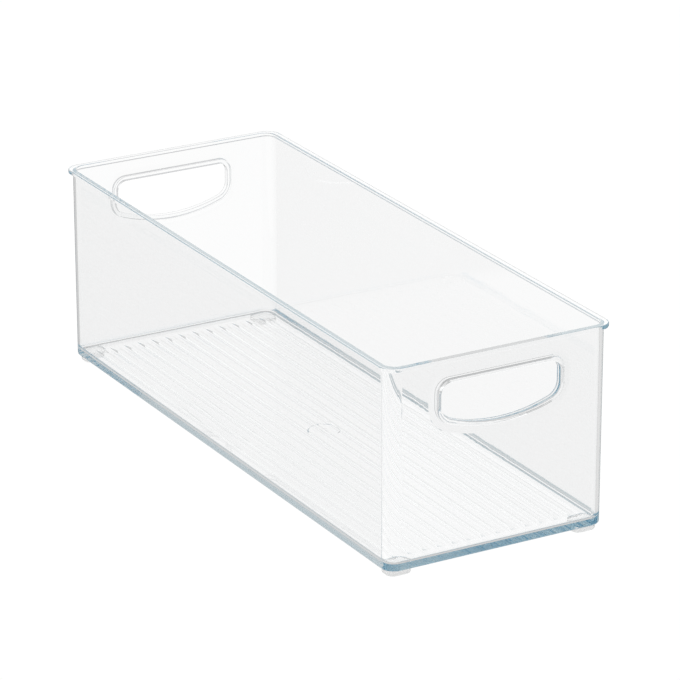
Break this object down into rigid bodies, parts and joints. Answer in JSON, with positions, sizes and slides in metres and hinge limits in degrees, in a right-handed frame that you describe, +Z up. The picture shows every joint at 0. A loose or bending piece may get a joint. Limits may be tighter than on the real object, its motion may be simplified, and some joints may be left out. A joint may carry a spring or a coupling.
{
  "type": "fridge bin",
  "caption": "Long clear plastic storage bin for a fridge shelf, open on top, with a handle opening in each end wall, a ribbed floor and soft corner feet.",
  "frame": {"origin": "on the ground under the middle of the bin, level with the bottoms of the feet", "axes": "+Z up, +Y along the length towards the rear end, +X across to the right seen from the front end at -Y"},
  "size_m": [0.151, 0.406, 0.129],
  "materials": {
    "clear_plastic": "water-clear gloss moulding, faintly cool in its thick edges",
    "soft_foot": "soft translucent clear elastomer, satin"
  },
  "bodies": {
    "root": {"bin_body": "clear_plastic", "front_left_foot": "soft_foot", "front_right_foot": "soft_foot", "rear_left_foot": "soft_foot", "rear_right_foot": "soft_foot"}
  },
  "joints": []
}
